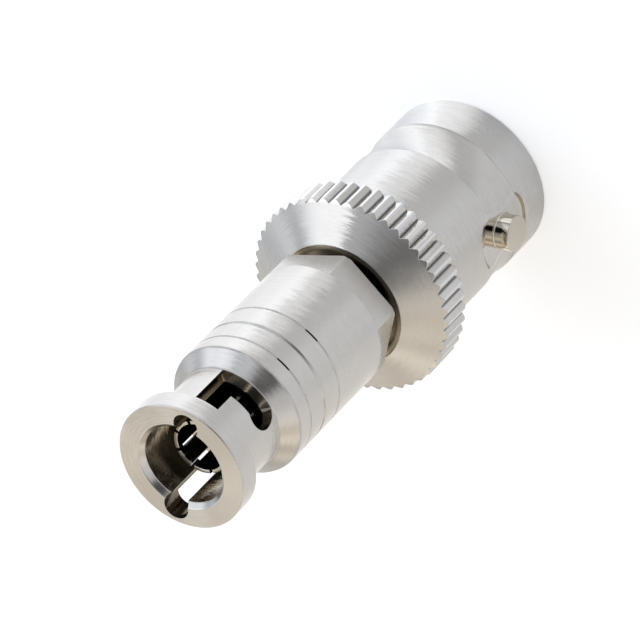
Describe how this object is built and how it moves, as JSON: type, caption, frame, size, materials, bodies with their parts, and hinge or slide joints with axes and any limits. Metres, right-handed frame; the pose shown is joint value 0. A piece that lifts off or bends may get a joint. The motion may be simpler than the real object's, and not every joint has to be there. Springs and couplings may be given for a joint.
{
  "type": "bnc connector",
  "caption": "Straight coaxial adapter from a full-size bayonet jack to a miniature bayonet plug, with a knurled disc and a sprung coupling sleeve that turns.",
  "frame": {"origin": "centre of the jack's open end face, on which the adapter stands", "axes": "+Z along the axis from the jack to the plug, +X out through bayonet stud 1"},
  "size_m": [0.012, 0.012, 0.0298],
  "materials": {
    "nickel_body": "nickel plated, fine turned",
    "nickel_sleeve": "nickel plated, fine turned",
    "nickel_stud": "nickel plated, polished side",
    "nickel_stem": "nickel plated",
    "contact_nickel": "nickel plated spring alloy",
    "contact_gold": "gold plated",
    "white_insulator": "turned fluoropolymer",
    "spring_steel": "rolled"
  },
  "bodies": {
    "adapter": {"jack_body": "nickel_body", "bayonet_stud_1": "nickel_stud", "bayonet_stud_2": "nickel_stud", "jack_insulator": "white_insulator", "jack_socket_contact": "contact_gold", "plug_stem": "nickel_stem", "rear_insulator": "white_insulator", "front_insulator": "white_insulator", "plug_pin": "contact_gold", "ground_contact": "contact_nickel", "wave_washer_1": "spring_steel", "wave_washer_2": "spring_steel"},
    "washer": {"thrust_washer": "spring_steel"},
    "sleeve": {"coupling_sleeve": "nickel_sleeve", "retaining_ring": "spring_steel"}
  },
  "joints": [
    {"name": "sleeve_travel", "type": "slide", "parent": "adapter", "child": "washer", "axis": [0, 0, 1], "range_m": [0, 0.0006], "stiffness_N_per_m": 2000, "deforming": ["wave_washer_1", "wave_washer_2"]},
    {"name": "sleeve_turn", "type": "hinge", "parent": "washer", "child": "sleeve", "pos_m": [0, 0, 0.01568], "axis": [0, 0, 1], "continuous": true}
  ]
}
